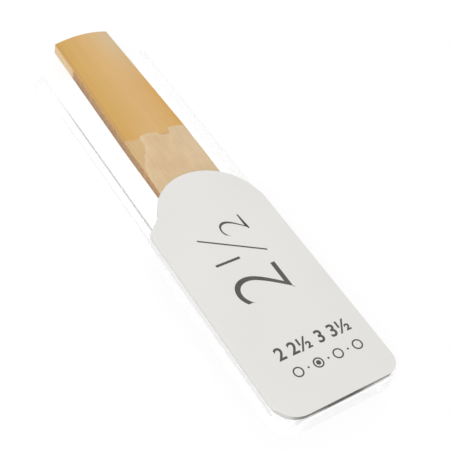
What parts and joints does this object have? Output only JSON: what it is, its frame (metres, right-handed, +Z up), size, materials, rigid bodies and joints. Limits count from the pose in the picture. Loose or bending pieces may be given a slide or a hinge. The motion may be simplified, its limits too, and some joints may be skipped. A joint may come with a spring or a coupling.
{
  "type": "clarinet reed in guard",
  "caption": "Single cane clarinet reed lying in a clear open-ended tray, with an arched cover plate and printed film over its tip.",
  "frame": {"origin": "centre of the tray's flat underside", "axes": "+Z up out of the tray, -Y towards the tray's closed end and the reed's tip, +Y towards the reed's heel, which stands out of the open end"},
  "size_m": [0.0242, 0.093, 0.005],
  "materials": {
    "cane": "natural bark, scraped vamp",
    "clear_plastic": "clear moulded",
    "cover_plastic": "moulded",
    "label_film": "printed film",
    "print_ink": "screen print"
  },
  "bodies": {
    "guard": {"guard_tray": "clear_plastic", "guard_cover": "cover_plastic", "cover_label": "label_film"},
    "reed": {"reed": "cane"}
  },
  "joints": [
    {"name": "reed_slide", "type": "slide", "parent": "guard", "child": "reed", "axis": [0, 1, 0], "range_m": [-0.007, 0.062]}
  ]
}
